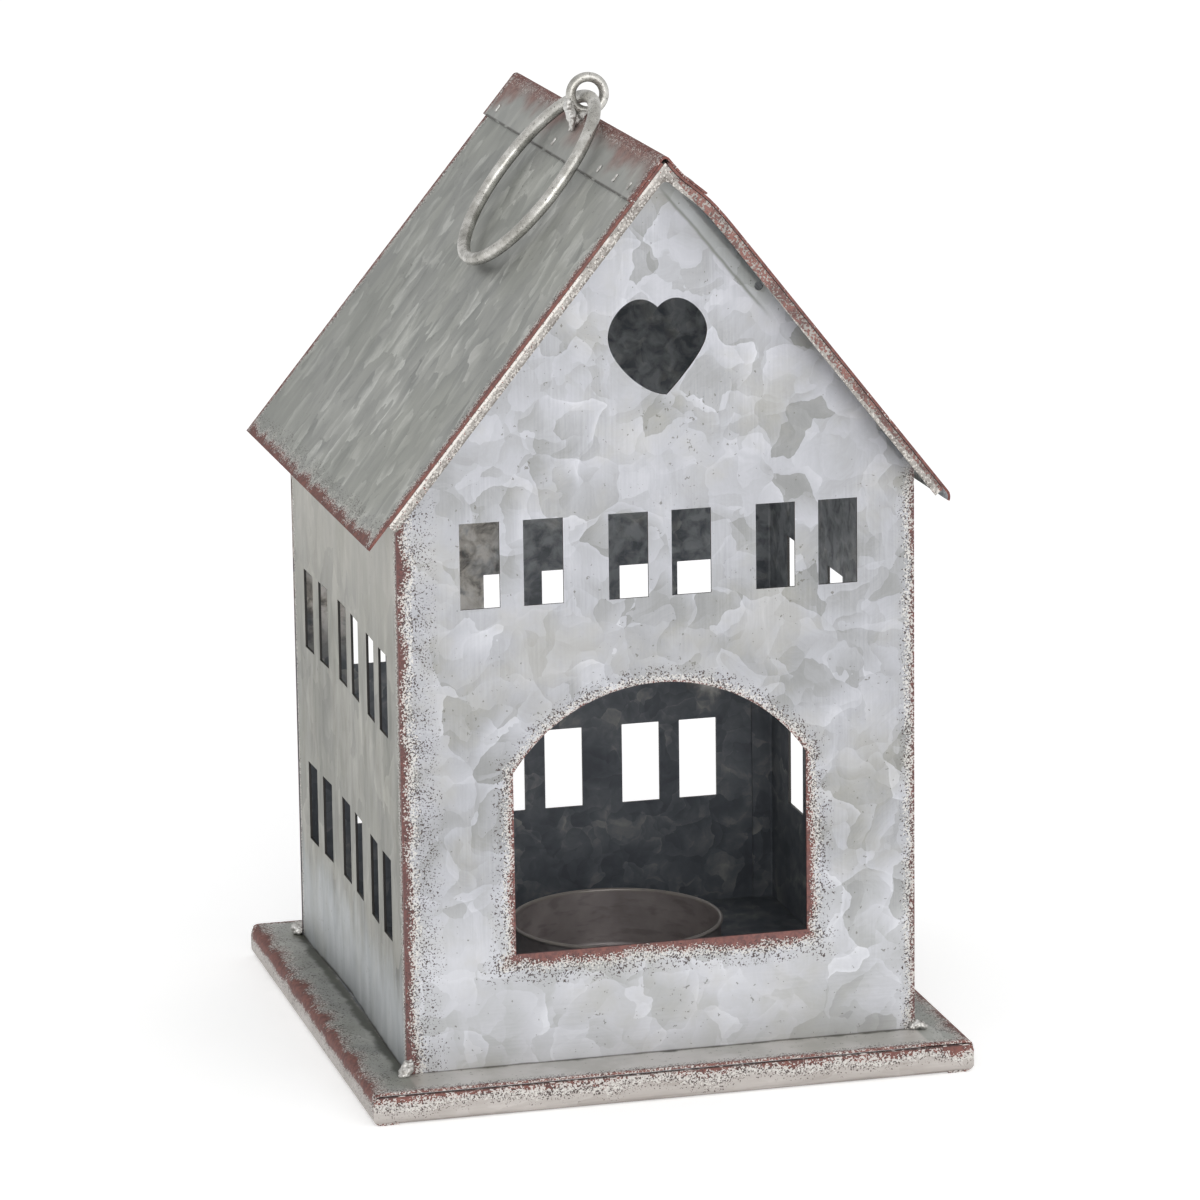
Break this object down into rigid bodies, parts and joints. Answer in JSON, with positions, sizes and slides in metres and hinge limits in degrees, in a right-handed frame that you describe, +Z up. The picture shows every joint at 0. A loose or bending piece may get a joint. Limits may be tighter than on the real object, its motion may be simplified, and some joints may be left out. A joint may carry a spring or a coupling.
{
  "type": "candle lantern",
  "caption": "House-shaped sheet-metal candle lantern: gabled roof over pierced walls, arched doorway, heart cut-out, candle cup on a tray base, and a swinging hanging ring.",
  "frame": {"origin": "centre of the base's underside, on the surface the lantern stands on", "axes": "+Z up through the ridge, -Y out of the arched front gable wall, +X to the right seen from the front; the ridge runs along Y"},
  "size_m": [0.141, 0.141, 0.225],
  "materials": {
    "base_sheet": "galvanised, dulled, red-brown worn edges",
    "base_rim": "galvanised, stained beige, red-brown worn top edge",
    "gable_sheet": "galvanised with large zinc spangle, red-brown worn edges",
    "side_sheet": "galvanised, dull, faint vertical streaks",
    "roof_sheet": "galvanised, grey-green, long soft streaks",
    "ridge_sheet": "galvanised, red-brown worn crease",
    "trim_sheet": "galvanised, pale and speckled with red-brown",
    "wire": "pewter-coloured plated wire, satin",
    "cup_sheet": "dark burnished sheet with a brighter rim",
    "weld_metal": "bright bare weld metal"
  },
  "bodies": {
    "lantern": {"base_deck": "base_sheet", "base_front_rim": "base_rim", "base_back_rim": "base_rim", "front_wall": "gable_sheet", "back_wall": "gable_sheet", "left_wall": "side_sheet", "right_wall": "side_sheet", "roof_left_sheet": "roof_sheet", "roof_right_sheet": "roof_sheet", "ridge_cap": "ridge_sheet", "front_gable_trim": "trim_sheet", "back_gable_trim": "trim_sheet", "eyelet": "wire", "eyelet_weld": "weld_metal", "candle_cup": "cup_sheet", "corner_weld_beads": "weld_metal", "roof_tack_welds": "weld_metal"},
    "ring": {"hang_ring": "wire"}
  },
  "joints": [
    {"name": "ring_swing", "type": "hinge", "parent": "lantern", "child": "ring", "pos_m": [0, 0, 0.2199], "axis": [0, 1, 0], "range_deg": [0, 275]}
  ]
}
